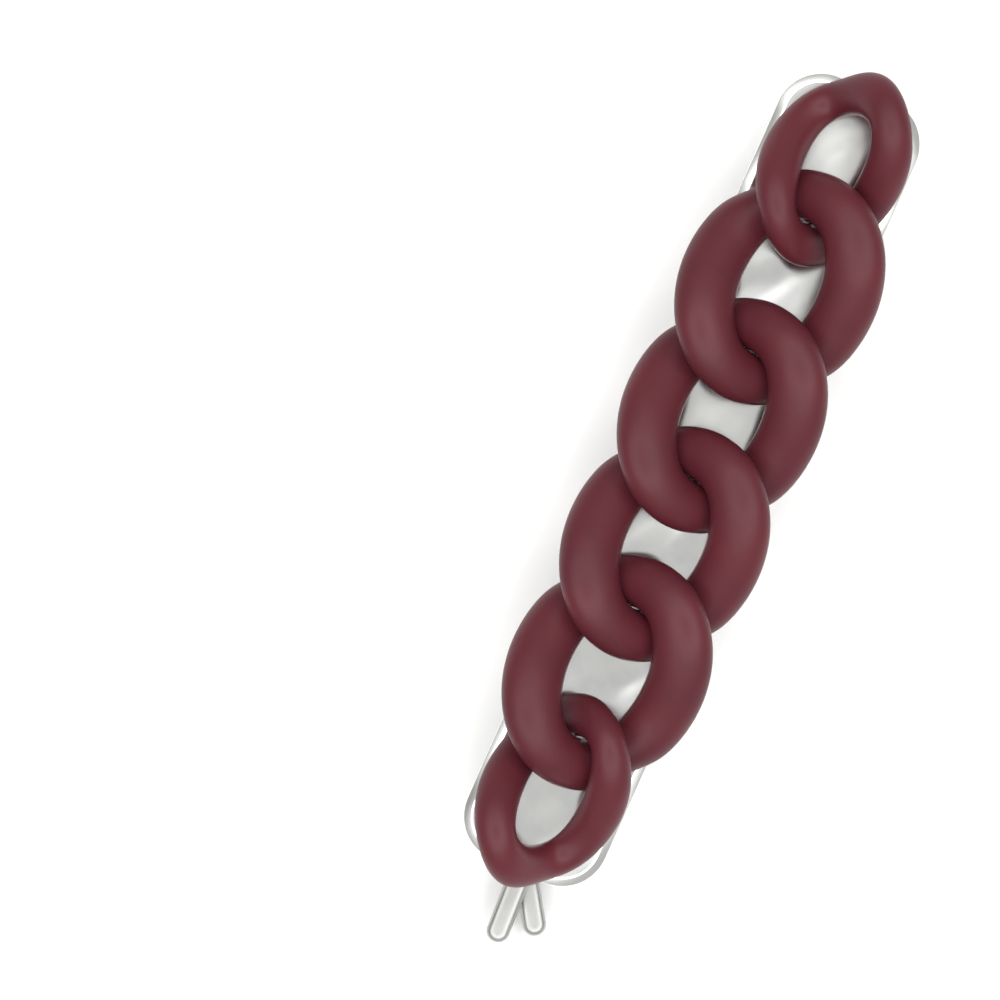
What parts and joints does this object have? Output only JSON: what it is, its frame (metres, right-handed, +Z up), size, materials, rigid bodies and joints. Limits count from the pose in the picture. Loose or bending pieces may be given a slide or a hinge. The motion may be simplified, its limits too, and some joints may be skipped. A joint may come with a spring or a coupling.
{
  "type": "hair barrette",
  "caption": "Closed hair barrette: flattened curb chain of interlocked burgundy links along a silver-coloured metal bar with rounded ends, and a clasp with rounded prongs under it.",
  "frame": {"origin": "middle of the bar's length and width, on the flat underside of the closed clasp's arm that the barrette rests on", "axes": "+X along the bar, away from the clasp's prongs; +Z up from the clasp through the bar to the chain; +Y across the bar"},
  "size_m": [0.1129, 0.0236, 0.0194],
  "materials": {
    "polished_metal": "polished",
    "clasp_metal": "satin",
    "burgundy_plastic": "soft matte"
  },
  "bodies": {
    "root": {"backing_plate": "polished_metal", "clasp": "clasp_metal", "link_1": "burgundy_plastic", "link_2": "burgundy_plastic", "link_3": "burgundy_plastic", "link_4": "burgundy_plastic", "link_5": "burgundy_plastic", "link_6": "burgundy_plastic"}
  },
  "joints": []
}
